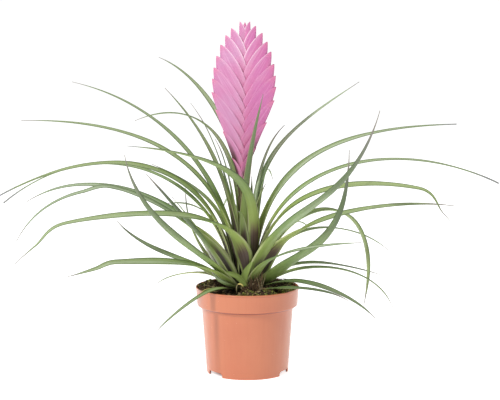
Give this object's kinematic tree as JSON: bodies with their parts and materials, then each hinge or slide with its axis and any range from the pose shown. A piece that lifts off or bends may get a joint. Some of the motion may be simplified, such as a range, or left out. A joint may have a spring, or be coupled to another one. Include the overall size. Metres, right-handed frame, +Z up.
{
  "type": "potted pink quill plant",
  "caption": "Tufted bromeliad with long arching channelled leaves round a flat paddle-shaped pink flower quill, growing in soil in a small round plastic nursery pot.",
  "frame": {"origin": "centre of the pot's underside, on the surface that it stands on", "axes": "+Z up along the pot's axis; the flat quill faces -Y and its bracts fan out to -X and +X, the way that the leaves spread furthest"},
  "size_m": [0.4374, 0.2703, 0.3049],
  "materials": {
    "pot_plastic": "satin terracotta-coloured plastic",
    "soil_mix": "dark bark and peat mix with moss",
    "rootstock": "matt brown",
    "leaf": "satin grey-green, purple-brown striped at the sheath",
    "stalk_bract": "satin purple-brown",
    "quill_bract": "satin pink"
  },
  "bodies": {
    "root": {"pot": "pot_plastic", "soil": "soil_mix", "crown": "rootstock", "flower_stalk": "stalk_bract", "quill": "quill_bract", "leaf_01": "leaf", "leaf_02": "leaf", "leaf_03": "leaf", "leaf_04": "leaf", "leaf_05": "leaf", "leaf_06": "leaf", "leaf_07": "leaf", "leaf_08": "leaf", "leaf_09": "leaf", "leaf_10": "leaf", "leaf_11": "leaf", "leaf_12": "leaf", "leaf_13": "leaf", "leaf_14": "leaf", "leaf_15": "leaf", "leaf_16": "leaf", "leaf_17": "leaf", "leaf_18": "leaf", "leaf_19": "leaf", "leaf_20": "leaf", "leaf_21": "leaf", "leaf_22": "leaf", "leaf_23": "leaf", "leaf_24": "leaf", "leaf_25": "leaf", "leaf_26": "leaf", "leaf_27": "leaf", "leaf_28": "leaf", "leaf_29": "leaf", "leaf_30": "leaf", "leaf_31": "leaf", "leaf_32": "leaf", "leaf_33": "leaf", "leaf_34": "leaf", "leaf_35": "leaf", "leaf_36": "leaf", "leaf_37": "leaf", "leaf_38": "leaf", "leaf_39": "leaf", "leaf_40": "leaf", "leaf_41": "leaf", "leaf_42": "leaf", "leaf_43": "leaf", "leaf_44": "leaf", "leaf_45": "leaf", "leaf_46": "leaf", "leaf_47": "leaf", "leaf_48": "leaf"}
  },
  "joints": []
}
